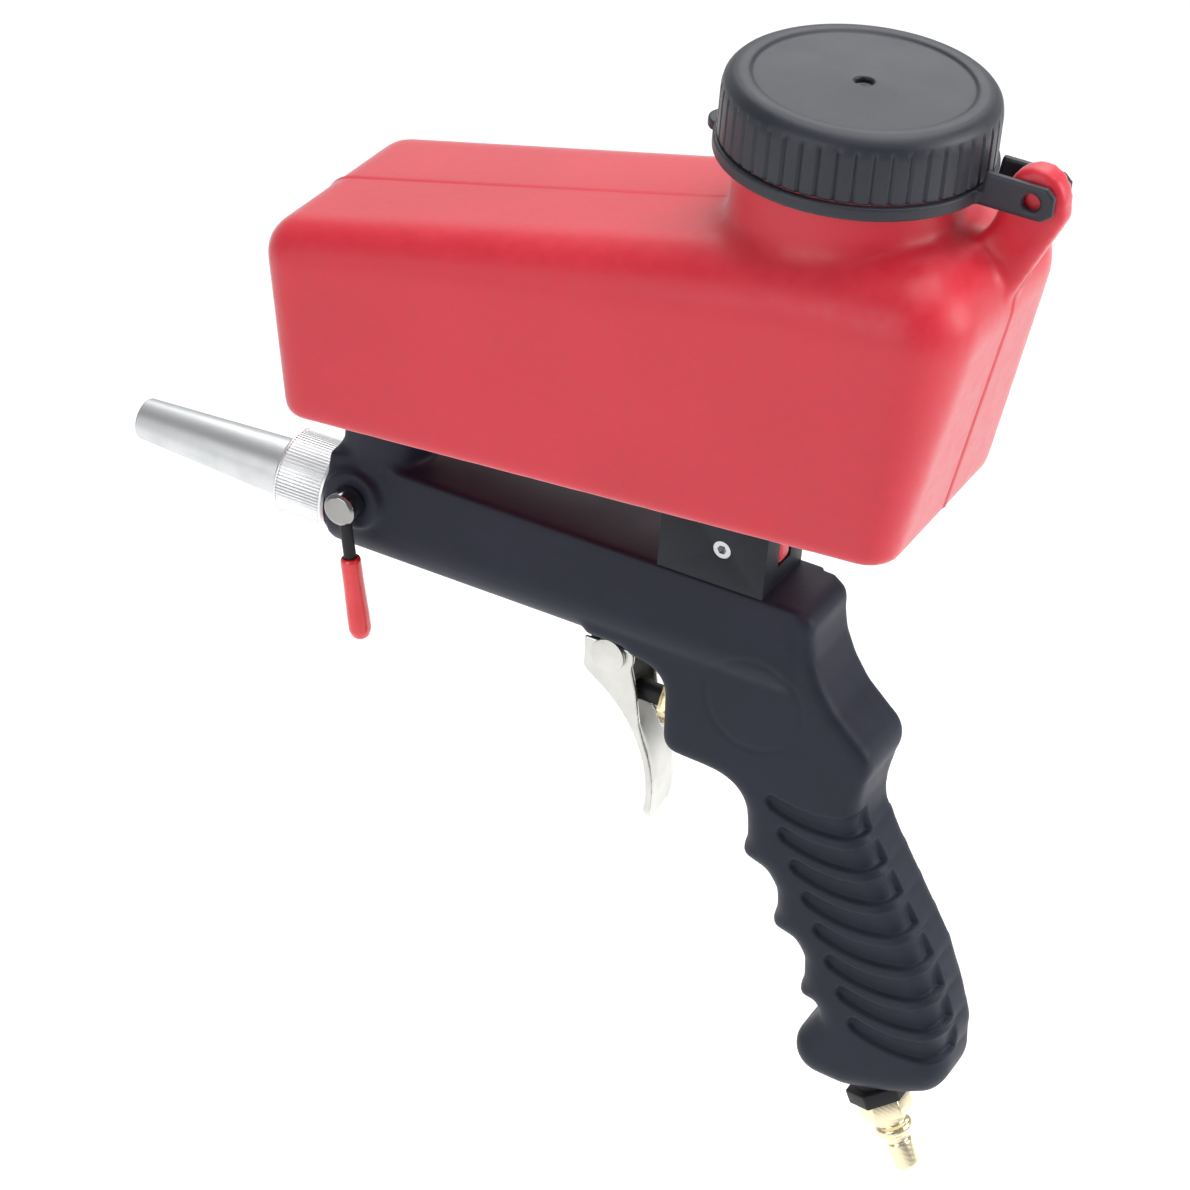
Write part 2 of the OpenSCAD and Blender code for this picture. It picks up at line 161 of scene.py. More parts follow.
def normals_of(piece):
    directions = np.empty(len(piece.data.vertices) * 3)
    piece.data.vertices.foreach_get("normal", directions)
    return directions.reshape(-1, 3)


def move_points(piece, places):
    piece.data.vertices.foreach_set("co", places.ravel())
    piece.data.update()


def relax(piece, rounds, weight=None):
    ends = np.empty(len(piece.data.edges) * 2, np.int64)
    piece.data.edges.foreach_get("vertices", ends)
    a, b = ends.reshape(-1, 2).T
    places = points_of(piece)
    count = len(places)
    share = np.full(count, 0.5) if weight is None else 0.5 * weight
    degree = np.maximum(np.bincount(a, minlength=count) + np.bincount(b, minlength=count), 1)
    for _ in range(rounds):
        middle = np.empty_like(places)
        for axis in range(3):
            total = np.bincount(a, places[b, axis], count) + np.bincount(b, places[a, axis], count)
            middle[:, axis] = total / degree
        places += share[:, None] * (middle - places)
    move_points(piece, places)
    return piece


def smooth_by_angle(piece, degrees=35):
    pick(piece)
    bpy.ops.object.shade_smooth_by_angle(angle=math.radians(degrees))
    return piece


def smooth_all(piece):
    pick(piece)
    bpy.ops.object.shade_smooth()
    return piece


def copy_of_node(node, name):
    """A merged copy of a CAD node, to be worked on."""
    let_go()
    source = frame["nodes"][node]
    piece = bpy.data.objects.new(name, source.data.copy())
    bpy.context.scene.collection.objects.link(piece)
    piece.data.materials.clear()
    pick(piece)
    bpy.ops.object.mode_set(mode="EDIT")
    bpy.ops.mesh.select_all(action="SELECT")
    bpy.ops.mesh.remove_doubles(threshold=2e-6)
    bpy.ops.object.mode_set(mode="OBJECT")
    return piece


def stands_for(piece, node, finish):
    """The piece rides on its node's body, hides the node and takes its finish."""
    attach(piece, frame["nodes"][node]["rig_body"])
    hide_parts(node)
    return finished(piece, finish)


def finished(piece, finish):
    piece.data.materials.clear()
    piece.data.materials.append(finish)
    return size_of(piece)


# %% [markdown]
# ## Finishes
# All finishes are made from numbers that vary over the surface. Writing those numbers as ordinary
# sums keeps each recipe readable, so one small class wraps a socket and lets it be added,
# multiplied and subtracted. Every other node is made by its one method.

# %% A number that varies over a surface
class Field:
    def __init__(self, tree, link=None):
        self.tree, self.link = tree, link

    def node(self, kind, settings, inputs, output):
        made = self.tree.nodes.new(kind)
        for key, value in settings.items():
            if key == "stops":
                ramp = made.color_ramp.elements
                while len(ramp) < len(value):
                    ramp.new(0.5)
                for element, (place, grey) in zip(ramp, value):
                    element.position, element.color = place, (grey, grey, grey, 1)
            else:
                setattr(made, key, value)
        for key, value in inputs.items():
            if isinstance(value, Field):
                self.tree.links.new(value.link, made.inputs[key])
            else:
                made.inputs[key].default_value = value
        return Field(self.tree, made.outputs[output])

    def math(self, operation, a, b=0.0):
        return self.node("ShaderNodeMath", {"operation": operation}, {0: a, 1: b}, 0)

    def __add__(self, other):
        return self.math("ADD", self, other)

    __radd__ = __add__

    def __mul__(self, other):
        return self.math("MULTIPLY", self, other)

    __rmul__ = __mul__

    def __sub__(self, other):
        return self.math("SUBTRACT", self, other)

    def __rsub__(self, other):
        return self.math("SUBTRACT", other, self)


# %% [markdown]
# Each finish needs the same few things: the place on the piece, noise at some grain size, a limit
# that turns noise into patches, a mix of two colours and a bump. They are small functions.

# %% Shared pattern makers
def surface(name, **constants):
    """A new material: the object's coordinates to build on, and its shader."""
    material = bpy.data.materials.new(name)
    material.use_nodes = True
    shader = material.node_tree.nodes["Principled BSDF"]
    for key, value in constants.items():
        shader.inputs[key.replace("_", " ").title().replace("Ior", "IOR")].default_value = value
    start = Field(material.node_tree)
    place = start.node("ShaderNodeTexCoord", {}, {}, "Object")
    return material, shader, place


def noise(place, per_metre, detail=3.0, roughness=0.55):
    inputs = {"Vector": place, "Scale": per_metre, "Detail": detail, "Roughness": roughness}
    return place.node("ShaderNodeTexNoise", {"noise_dimensions": "3D"}, inputs, 0)


def cells(place, per_metre):
    return place.node("ShaderNodeTexVoronoi", {"feature": "F1"}, {"Vector": place, "Scale": per_metre}, 0)


def band(value, low, high):
    """0 below low, 1 above high, and a soft step between them."""
    inputs = {"Value": value, "From Min": low, "From Max": high}
    return value.node("ShaderNodeMapRange", {"interpolation_type": "SMOOTHSTEP"}, inputs, 0)


def mixed(share, first, second):
    inputs = {0: share, 6: first, 7: second}
    return share.node("ShaderNodeMix", {"data_type": "RGBA"}, inputs, 2)


def along(place, axis):
    return place.node("ShaderNodeSeparateXYZ", {}, {0: place}, axis)


def stretched(place, scale, turn=(0, 0, 0)):
    inputs = {"Vector": place, "Rotation": turn, "Scale": scale}
    return place.node("ShaderNodeMapping", {}, inputs, 0)


def connect(shader, **fields):
    for key, field in fields.items():
        socket = shader.inputs[key.replace("_", " ").title()]
        field.tree.links.new(field.link, socket)


def bump(height, metres, strength=1.0):
    inputs = {"Height": height, "Distance": metres, "Strength": strength}
    return height.node("ShaderNodeBump", {}, inputs, 0)


# %% [markdown]
# The casting has a thick powder coat in a dark blue-grey. Powder melts into a skin that is never
# quite level, so it carries a fine pebble, patches that shine a little more, and fine specks of
# dust. Two noises of different grain make the pebble.

# %% Powder coat
def powder_coat(name, dark, light):
    material, shader, place = surface(name, specular_ior_level=0.24)
    patches = band(noise(place, 55.0), 0.35, 0.7)
    specks = band(noise(place, 2600.0, 2.0), 0.62, 0.8)
    grain = noise(place, 1500.0, 2.0) + 0.5 * cells(place, 900.0)
    connect(shader, base_color=mixed(patches * 0.7 + specks * 0.3, dark, light),
            roughness=0.46 + 0.08 * patches + 0.06 * specks, normal=bump(grain, 0.00007, 0.55))
    return material


GUN_PAINT = powder_coat("gun_powder_coat", (0.014, 0.017, 0.031, 1), (0.02, 0.023, 0.04, 1))
BLOCK_PAINT = powder_coat("block_dark_coat", (0.011, 0.014, 0.02, 1), (0.018, 0.021, 0.029, 1))
print("painted finishes", GUN_PAINT.name, BLOCK_PAINT.name)

# %% [markdown]
# The hopper is blown from red polyethylene. The hot skin touches a sand-blasted mould, so it is
# satin, and its wall differs in thickness, which shows as slow changes of red. Faint drag lines
# run across it.

# %% Blown red plastic
def blown_plastic():
    material, shader, place = surface("hopper_red_plastic", specular_ior_level=0.6, subsurface_weight=0.06,
                                      subsurface_scale=0.004, sheen_weight=0.62, sheen_roughness=0.36)
    clouds = band(noise(place, 16.0, 2.0), 0.3, 0.75)
    mottle = band(noise(place, 240.0, 4.0), 0.35, 0.7)
    drag = noise(stretched(place, (6.0, 1.0, 220.0)), 4.0, 3.0)
    skin = noise(place, 1300.0, 2.0)
    shares = clouds * 0.6 + mottle * 0.25 + drag * 0.15
    colour = mixed(shares, (0.62, 0.008, 0.026, 1), (0.72, 0.017, 0.04, 1))
    connect(shader, base_color=colour, roughness=0.38 + 0.1 * mottle + 0.05 * clouds,
            normal=bump(skin * 0.6 + drag * 0.4 + mottle * 0.4, 0.00006, 0.5))
    return material


HOPPER_RED = blown_plastic()

# %% [markdown]
# The cap, its ring and the lever's sleeve are moulded too. The cap's mould was spark-eroded, which
# leaves a very even fine pit. The sleeve is dipped vinyl, glossy and a little wavy.

# %% Moulded plastics, rubber and foam
def moulded(name, dark, light, rough, grain, depth, **constants):
    material, shader, place = surface(name, **constants)
    patches = band(noise(place, 70.0), 0.3, 0.7)
    pits = cells(place, grain)
    scuffs = band(noise(stretched(place, (300.0, 40.0, 40.0), (0.4, 0.2, 0.9)), 5.0, 5.0), 0.68, 0.8)
    connect(shader, base_color=mixed(patches * 0.8 + scuffs * 0.2, dark, light),
            roughness=rough + 0.07 * patches + 0.08 * scuffs, normal=bump(pits + 0.3 * patches, depth, 0.5))
    return material


CAP_PLASTIC = moulded("cap_eroded_plastic", (0.011, 0.014, 0.023, 1), (0.017, 0.021, 0.032, 1), 0.4, 1700.0,
                      0.00005, specular_ior_level=0.5, sheen_weight=0.12, sheen_roughness=0.45)
SLEEVE_RED = moulded("sleeve_red_vinyl", (0.8, 0.01, 0.02, 1), (0.88, 0.025, 0.035, 1), 0.2, 260.0, 0.00012,
                     specular_ior_level=0.6, coat_weight=0.6)
RUBBER = moulded("seal_rubber", (0.012, 0.012, 0.012, 1), (0.022, 0.022, 0.023, 1), 0.6, 1200.0, 0.00004)
FOAM = moulded("liner_foam", (0.7, 0.7, 0.66, 1), (0.8, 0.8, 0.77, 1), 0.7, 1500.0, 0.0001)
print("moulded finishes", CAP_PLASTIC.name, SLEEVE_RED.name, RUBBER.name, FOAM.name)

# %% [markdown]
# Turned metal carries rings round its own axis: a cutting tool leaves a spiral, far finer than
# the piece. The rings are a wave that runs along the axis. Plated parts are nearly mirrors with soft
# waves and a few fine scratches.

# %% Metals
def metal(name, colour, shade, rough, rings=0.0, axis="X", turn=(0, 0, 0), ring_depth=0.00002):
    material, shader, place = surface(name, metallic=1.0)
    patches = band(noise(place, 120.0, 4.0), 0.3, 0.75)
    scratches = band(noise(stretched(place, (30.0, 900.0, 900.0), (0.3, 0.7, 0.2)), 3.0, 4.0), 0.6, 0.8)
    height = 0.2 * patches + 0.4 * scratches
    if rings:
        length = along(stretched(place, (1.0, 1.0, 1.0), turn), axis)
        cut = length.math("SINE", length * rings) * 0.5 + 0.5
        height = height + cut * (0.6 + 0.4 * noise(place, 300.0, 2.0))
        rough_field = rough + 0.06 * patches + 0.07 * cut
    else:
        rough_field = rough + 0.07 * patches + 0.08 * scratches
    connect(shader, base_color=mixed(patches * 0.7 + scratches * 0.3, colour, shade),
            roughness=rough_field, normal=bump(height, ring_depth, 0.6))
    return material


inlet = Vector([m for m in frame["record"]["mounts"] if m["name"] == "air_inlet"][0]["axis"])
INLET_LEAN = math.atan2(inlet.x, -inlet.z)
TURNED_ALUMINIUM = metal("turned_aluminium", (0.72, 0.73, 0.735, 1), (0.62, 0.64, 0.65, 1), 0.34,
                         rings=9000.0)
NUT_ALUMINIUM = metal("nut_aluminium", (0.88, 0.885, 0.89, 1), (0.8, 0.81, 0.82, 1), 0.32, rings=7000.0)
CHROME = metal("lever_chrome", (0.36, 0.355, 0.35, 1), (0.3, 0.295, 0.29, 1), 0.09)
TRIGGER_PLATE = metal("trigger_satin_nickel", (0.7, 0.695, 0.655, 1), (0.61, 0.605, 0.575, 1), 0.28)
STEEL = metal("small_parts_steel", (0.62, 0.63, 0.65, 1), (0.5, 0.51, 0.53, 1), 0.24)
BRASS = metal("turned_brass", (0.92, 0.82, 0.58, 1), (0.84, 0.72, 0.48, 1), 0.16, rings=6000.0, axis="Z",
              turn=(0, -INLET_LEAN, 0))
SEAT_BRASS = metal("valve_brass", (0.84, 0.7, 0.42, 1), (0.72, 0.57, 0.32, 1), 0.2, rings=6000.0)
BLACK_STEEL = powder_coat("black_steel", (0.018, 0.018, 0.02, 1), (0.03, 0.03, 0.033, 1))
print("metals made; the inlet leans", round(math.degrees(INLET_LEAN), 1), "degrees")

# %% [markdown]
# ## The gun body
# The real body is one die casting: a round barrel, a boss under the hopper, a valve housing and a
# fat grip. Flat faces would leave hard corners that no casting has. A
# voxel remesh turns the CAD copy into an even skin of small squares, which can then be
# worked like clay.

# %% Give the body an even skin
BODY_VOXEL = 0.85 * MM
body = copy_of_node("gun_body", "gun_body_casting")
apply_modifier(body, "REMESH", mode="VOXEL", voxel_size=BODY_VOXEL)
size_of(body)

# %% [markdown]
# A hand needs a round grip. The CAD grip is a slab, so each point on its side moves in by an amount
# that depends on how near it is to the slab's edge, which gives a quarter-round edge of any
# radius. The nearest edge is found with a k-d tree of the points on the slab's rim.

# %% Round the grip and the valve housing
SLAB_HALF, BARREL_R, BARREL_END = 13.5, 15.2, 165
HOUSING_EDGE, GRIP_EDGE = 3.2, 8.2
mm = off_barrel(points_of(body))
facing = normals_of(body)
x, y, z = mm.T
reach = np.hypot(y, z)
on_barrel = (x < BARREL_END) & (np.abs(reach - BARREL_R) < 0.9)
on_ledge = (x < BARREL_END) & (z > -1)
rim = (np.abs(y) > 9.5) & (np.abs(y) < 12.9) & (np.abs(facing[:, 1]) < 0.3) & ~on_barrel & ~on_ledge
rim &= (x > 96)
tree = KDTree(int(rim.sum()))
for index, (px, pz) in enumerate(zip(x[rim], z[rim])):
    tree.insert((px, 0.0, pz), index)
tree.balance()
grip_share = np.clip((-30 - z) / 25, 0, 1) * np.clip((x - 120) / 20, 0, 1)
edge_radius = HOUSING_EDGE + (GRIP_EDGE - HOUSING_EDGE) * grip_share
outside = (x > 96) & ~on_barrel & ~on_ledge & (np.abs(y) < SLAB_HALF + 0.4)
moving = outside & (np.abs(y) > SLAB_HALF - edge_radius - 0.2)
for i in np.nonzero(moving)[0]:
    gap = tree.find((x[i], 0.0, z[i]))[2]
    inward = max(edge_radius[i] - gap, 0.0)
    half = SLAB_HALF - edge_radius[i] + math.sqrt(max(edge_radius[i] ** 2 - inward ** 2, 0.0))
    flat_side = abs(y[i]) > SLAB_HALF - 2.2
    if abs(y[i]) > half or flat_side:
        mm[i, 1] = math.copysign(half, y[i])
move_points(body, mm * MM + np.array(barrel))
apply_modifier(body, "REMESH", mode="VOXEL", voxel_size=BODY_VOXEL)
relax(body, 5)
size_of(body)

# %% [markdown]
# Eight grooves run round each side of the grip. Each is a shallow scoop with a flat bottom: it
# begins round and narrow at the front, widens towards the back, has a steep lower edge and a gentle
# upper one, and stops at a small step beside the spine. They are pressed in by moving points
# against the surface's own direction, one groove after another, on a finer patch of the skin.

# %% Make the grip's skin finer
GROOVE_X, GROOVE_Z, GROOVE_R = 178.5, -11.3, 38.0
GROOVE_STEP = (5.0, -9.75)
GROOVE_COUNT, GROOVE_START, GROOVE_END, GROOVE_FULL = 8, 244.5, 308.0, 48
pick(body)
bpy.ops.object.mode_set(mode="EDIT")
skin = bmesh.from_edit_mesh(body.data)
bpy.ops.mesh.select_all(action="DESELECT")
low, high = at(158, 0, -125), at(234, 0, -36)
BACK_X, BACK_LEAN = 165, 0.35
for face in skin.faces:
    middle = face.calc_center_median()
    inside = low.x < middle.x < high.x and low.z < middle.z < high.z
    back_line = BACK_X - BACK_LEAN * (middle.z - barrel.z) / MM
    outer = abs(middle.y) > GRIP_EDGE * MM or middle.x - barrel.x > back_line * MM
    face.select_set(inside and outer)
bmesh.update_edit_mesh(body.data)
bpy.ops.mesh.subdivide(number_cuts=1, smoothness=0.6)
bpy.ops.object.mode_set(mode="OBJECT")
size_of(body)

# %% Press the grooves in
mm = off_barrel(points_of(body))
facing = normals_of(body)
x, y, z = mm.T
press = np.zeros(len(mm))
for groove in range(GROOVE_COUNT):
    cx, cz = GROOVE_X + GROOVE_STEP[0] * groove, GROOVE_Z + GROOVE_STEP[1] * groove
    rho = np.hypot(x - cx, z - cz)
    angle = np.degrees(np.arctan2(z - cz, x - cx)) % 360
    t = np.clip((angle - GROOVE_START) / GROOVE_FULL, 0, 1)
    width = 4.6 + 3.4 * t
    depth = 1.5 + 0.6 * t
    above = GROOVE_R + 1.6 - rho
    scoop = np.where(above >= 0, 1 - np.clip(above / width, 0, 1) ** 2.6, 1 + above / 0.8)
    round_end = width / 2
    before = np.clip((GROOVE_START - angle) * math.radians(1) * GROOVE_R + round_end, 0, None) / round_end
    off_centre = np.abs(above - width / 2) / round_end
    allowed = np.sqrt(np.clip(1 - off_centre ** 2, 0, 1))
    front = np.clip(1 - (before - allowed) / 0.35, 0, 1)
    back = np.clip(1 - (angle - GROOVE_END) * math.radians(1) * GROOVE_R / 0.9, 0, 1)
    scoop = np.clip(scoop, 0, 1) * front * back
    spine_edge = np.where(y < 0, 4.8 - 0.35 * groove, 9.0)
    beside_spine = np.clip((np.abs(y) - spine_edge) / 0.9, 0, 1)
    press = np.maximum(press, np.where(z < cz, scoop * depth * beside_spine, 0))
mm -= facing * press[:, None]

# %% [markdown]
# The spine between the two sets of grooves is slightly scalloped. The flat on top of the barrel is a
# little wider on the far side, and a thin ring is cast round the valve on both sides of the housing.

# %% Scallop the spine, widen the flat and mark the valve
RING_X, RING_Z, RING_R = 154.4, -15.1, 15.5
FIRST_CUSP_Z = -49.0
spine = (np.abs(y) < 9) & (z < -38) & (z > -124) & (facing[:, 0] > 0.35)
wave = np.zeros(len(mm))
for groove in range(GROOVE_COUNT):
    cusp_z = FIRST_CUSP_Z + GROOVE_STEP[1] * groove
    wave = np.maximum(wave, np.clip(1 - np.abs(z - cusp_z) / 2.6, 0, 1) ** 1.5)
mm -= facing * (np.where(spine, wave, 0) * 0.35 * np.clip(1 - np.abs(y) / 9, 0, 1))[:, None]
far_edge = (x > 36) & (x < 160) & (z > 4) & (y > 8)
mm[:, 1] += np.where(far_edge, 1.5 * np.clip((z - 4) / 14, 0, 1), 0)
ring = np.abs(np.hypot(x - RING_X, z - RING_Z) - RING_R)
side = np.abs(facing[:, 1]) > 0.8
mm -= facing * (np.where(side, np.clip(1 - ring / 1.0, 0, 1), 0) * 0.35)[:, None]
move_points(body, mm * MM + np.array(barrel))
relax(body, 1)
triangles = sum(len(p.vertices) - 2 for p in body.data.polygons)
BODY_LIMIT = 185000
if triangles > BODY_LIMIT:
    apply_modifier(body, "DECIMATE", ratio=BODY_LIMIT / triangles)
smooth_all(body)
stands_for(body, "gun_body", GUN_PAINT)
print("body had", triangles, "triangles")

# %% [markdown]
# ## The hopper
# A blow-moulded tank is a thin skin with generous, slightly different radii everywhere. Its outside
# is the hull of a few balls and rings: rings of tube at the four floor corners give the round
# upright corners and the small floor edge, and balls give the nose and the shoulders.

# %% Stretch a skin over the corner forms
FLOOR_LEAN = math.radians(4.7)
FLOOR_RISE = math.tan(FLOOR_LEAN)
FLOOR_Z, LOW_R, FLOOR_EDGE = 42.5, 9.0, 3.6


def corner_ring(px, py):
    lift = Vector((-math.sin(FLOOR_LEAN), 0, 1)) * FLOOR_EDGE * MM
    floor_place = at(px, py, FLOOR_Z + FLOOR_RISE * px) + lift
    bpy.ops.mesh.primitive_torus_add(major_radius=(LOW_R - FLOOR_EDGE) * MM, minor_radius=FLOOR_EDGE * MM,
                                     major_segments=40, minor_segments=20, location=floor_place,
                                     rotation=(0, -FLOOR_LEAN, 0))


def corner_ball(px, py, pz, radius):
    bpy.ops.mesh.primitive_uv_sphere_add(segments=48, ring_count=24, radius=radius * MM,
                                         location=at(px, py, pz))


let_go()
corner_ball(7, 29, 94.5, 11)
hopper = name_and_place("hopper_shell")
bpy.ops.object.mode_set(mode="EDIT")
corner_ball(7, -29, 94.5, 11)
for hand in (-1, 1):
    corner_ball(158, hand * 24, 125.5, 18)
    corner_ball(192, hand * 24, 129, 18)
    corner_ring(13, hand * 29.5)
    corner_ring(190, hand * 29.5)
bpy.ops.mesh.select_all(action="SELECT")
bpy.ops.mesh.convex_hull()
bpy.ops.object.mode_set(mode="OBJECT")
size_of(hopper)

# %% [markdown]
# The filling neck, the hinge lug, the outlet spout and the web that the mount block grips are part
# of the same moulding. They are added as closed forms that overlap the hull, and a voxel remesh
# melts them into one skin.

# %% Add the neck, lug, spout and web
NECK_X, NECK_R, NECK_TOP, NECK_FOOT = 159.5, 32.4, 177.6, 118
FEED_X, SPOUT_R = 18.5, 7
LUG_X, LUG_Z = 212.7, 163.6
pick(hopper)
bpy.ops.object.mode_set(mode="EDIT")
bpy.ops.mesh.primitive_cylinder_add(vertices=128, radius=NECK_R * MM, depth=(NECK_TOP - NECK_FOOT) * MM,
                                    location=at(NECK_X, 0, (NECK_TOP + NECK_FOOT) / 2))
bpy.ops.mesh.primitive_cylinder_add(vertices=64, radius=8.4 * MM, depth=8.4 * MM,
                                    location=at(LUG_X, 0, LUG_Z), rotation=(math.pi / 2, 0, 0))
bpy.ops.mesh.primitive_cube_add(size=1, scale=(17 * MM, 8.2 * MM, 34 * MM), location=at(207.5, 0, 148),
                                rotation=(0, math.radians(24), 0))
bpy.ops.mesh.primitive_cylinder_add(vertices=48, radius=SPOUT_R * MM, depth=14 * MM,
                                    location=at(FEED_X, 0, 42.2))
bpy.ops.mesh.primitive_cube_add(size=1, scale=(32.1 * MM, 8.1 * MM, 30 * MM), location=at(137.1, 0, 42.3))
bpy.ops.object.mode_set(mode="OBJECT")
apply_modifier(hopper, "REMESH", mode="VOXEL", voxel_size=1.45 * MM)
mm = off_barrel(points_of(hopper))
x, y, z = mm.T
top = np.where(x < 158, 105.5 + (x - 7) * 0.2517, 143.5 + (x - 158) * 0.103)
top = top - np.clip(np.abs(y) - 24, 0, 18) ** 2 / 36
junction = np.hypot(np.hypot(x - NECK_X, y) - NECK_R, z - top)
lug_root = np.hypot(np.hypot(x - 203, z - 146) - 6, np.clip(np.abs(y) - 4, 0, None))
weight = np.clip(1 - junction / 9, 0, 1) + np.clip(1 - lug_root / 6, 0, 1) * (x > 193)
relax(hopper, 26, np.clip(weight * 1.4, 0, 1))
relax(hopper, 3)
size_of(hopper)

# %% [markdown]
# The two halves of the mould leave a parting line down the middle. Three cuts along the middle plane
# give it edges of its own, and the middle one is lifted by half a millimetre. The neck's top and
# the spout's end are then opened and a modifier gives the skin its wall.

# %% Raise the parting line, open the ends and give it a wall
pick(hopper)
for cut in (-1.2, 0.0, 1.2):
    bpy.ops.object.mode_set(mode="EDIT")
    bpy.ops.mesh.select_all(action="SELECT")
    bpy.ops.mesh.bisect(plane_co=at(0, cut, 0), plane_no=(0, 1, 0), clear_inner=False, clear_outer=False)
    bpy.ops.object.mode_set(mode="OBJECT")
mm = off_barrel(points_of(hopper))
facing = normals_of(hopper)
x, y, z = mm.T
seam = (np.abs(y) < 0.15) & (np.hypot(x - NECK_X, y) > 37) & (z > 62)
seam &= ~((x > 196) & (z > 141) & (z < 175))
mm += facing * np.where(seam, 0.55, 0)[:, None]
move_points(hopper, mm * MM + np.array(barrel))
bpy.ops.object.mode_set(mode="EDIT")
shell = bmesh.from_edit_mesh(hopper.data)
bpy.ops.mesh.select_all(action="DESELECT")
for face in shell.faces:
    middle = (face.calc_center_median() - barrel) / MM
    from_neck = math.hypot(middle.x - NECK_X, middle.y)
    from_spout = math.hypot(middle.x - FEED_X, middle.y)
    lid = middle.z > NECK_TOP - 2.5 and from_neck < 30.6
    plug = middle.z < 37 and from_spout < 5.6
    face.select_set(lid or plug)
bmesh.update_edit_mesh(hopper.data)
bpy.ops.mesh.delete(type="FACE")
bpy.ops.object.mode_set(mode="OBJECT")
apply_modifier(hopper, "SOLIDIFY", thickness=2.2 * MM, offset=-1.0)
smooth_all(hopper)
stands_for(hopper, "hopper", HOPPER_RED)

# %% [markdown]
# ## Turned pieces
# The nozzle, its nut, the knob, the sleeve, the plug and the cap are all round. One profile is drawn
# as a closed loop of points, corners are rounded, and mesh.spin sweeps it about its axis.

# %% Spin a profile
def rounded(points, radius, steps=4):
    """A closed loop with every corner rounded, less where an edge is short."""
    loop = []
    count = len(points)
    for i, here in enumerate(points):
        here = Vector(here)
        before, after = Vector(points[i - 1]), Vector(points[(i + 1) % count])
        a, b = before - here, after - here
        size = min(radius, a.length * 0.45, b.length * 0.45)
        if here.y < 1e-6 or size < 1e-4:
            loop.append(tuple(here))
            continue
        start, end = here + a.normalized() * size, here + b.normalized() * size
        for k in range(steps + 1):
            t = k / steps
            loop.append(tuple(start * (1 - t) ** 2 + here * 2 * t * (1 - t) + end * t ** 2))
    return loop


def turned(name, profile, origin, axis, radius=0.4, steps=96):
    """profile is (distance along the axis, distance from it) in millimetres."""
    loop = rounded(profile, radius)
    axis = Vector(axis).normalized()
    across = axis.orthogonal().normalized()
    let_go()
    bpy.ops.mesh.primitive_circle_add(vertices=len(loop), radius=MM, fill_type="NOTHING")
    piece = name_and_place(name)
    for vertex, (length, out) in zip(piece.data.vertices, loop):
        vertex.co = origin + (axis * length + across * out) * MM
    bpy.ops.object.mode_set(mode="EDIT")
    bpy.ops.mesh.select_all(action="SELECT")
    bpy.ops.mesh.spin(steps=steps, angle=2 * math.pi, center=origin, axis=axis)
    bpy.ops.mesh.select_all(action="SELECT")
    bpy.ops.mesh.remove_doubles(threshold=1e-6)
    bpy.ops.mesh.dissolve_degenerate(threshold=1e-6)
    bpy.ops.mesh.normals_make_consistent(inside=False)
    bpy.ops.object.mode_set(mode="OBJECT")
    return smooth_by_angle(piece, 40)


# %% [markdown]
# The nozzle is a turned aluminium cone with a bore, a collar at its root and a small chamfer at
# its tip.

# %% Nozzle
NOZZLE_PROFILE = [
    (-66, 3.0), (-66, 5.9), (-65.3, 6.6), (-11.2, 9.4), (-3.9, 9.4), (-3.9, 11.4), (-0.9, 11.4),
    (-0.9, 4.6), (-12, 3.0)
]
nozzle = turned("nozzle_cone", NOZZLE_PROFILE, at(0, 0, 0), (1, 0, 0), 0.3, 128)
stands_for(nozzle, "nozzle", TURNED_ALUMINIUM)

# %% [markdown]
# The nut that holds the nozzle has a fine straight knurl for the fingers. The knurl is real
# geometry: the profile is spun in many steps, and every third line of points on the band is pulled
# inwards.

# %% Knurled nut
KNURLS, KNURL_DEPTH = 84, 0.3
NUT_PROFILE = [
    (-11.2, 9.7), (-11.2, 12.9), (-10.2, 14.0), (-9.6, 14.0), (-9.4, 13.85), (5.2, 13.85),
    (5.4, 14.0), (6.2, 14.0), (7, 13.2), (7, 11.95), (-4.2, 11.95), (-4.2, 9.7)
]
nut = turned("nozzle_nut_knurled", NUT_PROFILE, at(0, 0, 0), (1, 0, 0), 0.12, KNURLS * 3)
mm = off_barrel(points_of(nut))
out = np.hypot(mm[:, 1], mm[:, 2])
turn = np.degrees(np.arctan2(mm[:, 2], mm[:, 1]))
step = 360 / (KNURLS * 3)
phase = np.round((turn - turn[0]) / step).astype(int) % 3
cut = (phase == 0) & (mm[:, 0] > -9.7) & (mm[:, 0] < 5.5) & (out > 13)
mm[cut, 1:] *= ((out[cut] - KNURL_DEPTH) / out[cut])[:, None]
move_points(nut, mm * MM + np.array(barrel))
smooth_by_angle(nut, 25)
stands_for(nut, "nozzle_nut", NUT_ALUMINIUM)

# %% [markdown]
# ## Media valve
# A chrome spool crosses the barrel and its knob carries a black rod in a dipped red sleeve.

# %% Chrome knob
SPOOL_Z = 8.2
SPOOL_PROFILE = [
    (-24.2, 0), (-24.2, 4.3), (-23.4, 5.2), (-17.5, 5.2), (-17.5, 3.9), (-12.7, 3.9),
    (-12.7, 2.9), (-11.3, 2.9), (-11.3, 3.9), (11.3, 3.9), (11.3, 2.9), (12.7, 2.9), (12.7, 3.9),
    (18, 3.9), (18, 3), (19, 3), (19, 3.9), (20.5, 3.9), (20.5, 0)
]
spool = turned("media_spool_chrome", SPOOL_PROFILE, at(FEED_X, 0, SPOOL_Z), (0, 1, 0), 0.3, 64)
stands_for(spool, "media_spool", CHROME)

